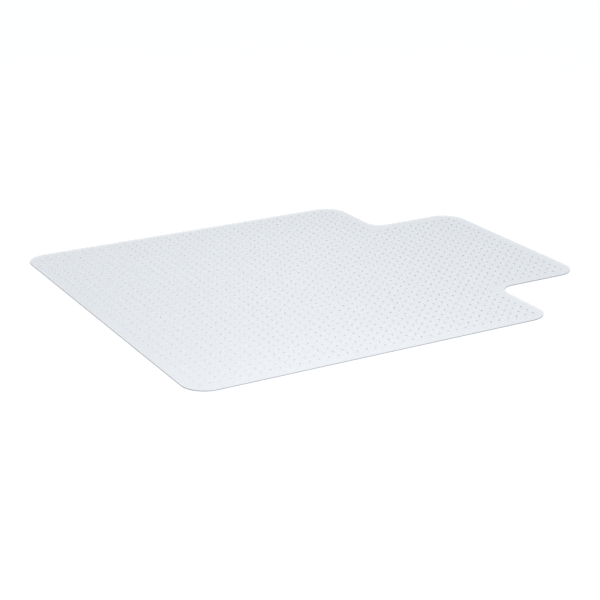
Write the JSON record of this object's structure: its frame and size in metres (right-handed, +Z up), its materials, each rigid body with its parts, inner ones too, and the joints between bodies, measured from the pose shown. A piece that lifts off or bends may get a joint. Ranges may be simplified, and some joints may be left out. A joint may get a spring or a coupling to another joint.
{
  "type": "chair mat",
  "caption": "Lipped office chair mat: a thin translucent sheet with rounded corners and a lip for the desk kneehole, with rows of gripper studs under it for carpet.",
  "frame": {"origin": "on the floor under the middle of the mat's bounding box", "axes": "+X across the mat, +Y from the rear edge towards the lip, +Z up out of the upper face"},
  "size_m": [1.143, 1.346, 0.0074],
  "materials": {
    "sheet_polymer": "matte",
    "stud_polymer": "matte"
  },
  "bodies": {
    "root": {"mat_sheet": "sheet_polymer", "bearing_studs": "stud_polymer", "rear_studs": "stud_polymer", "middle_studs": "stud_polymer", "front_studs": "stud_polymer", "lip_studs": "stud_polymer"}
  },
  "joints": []
}
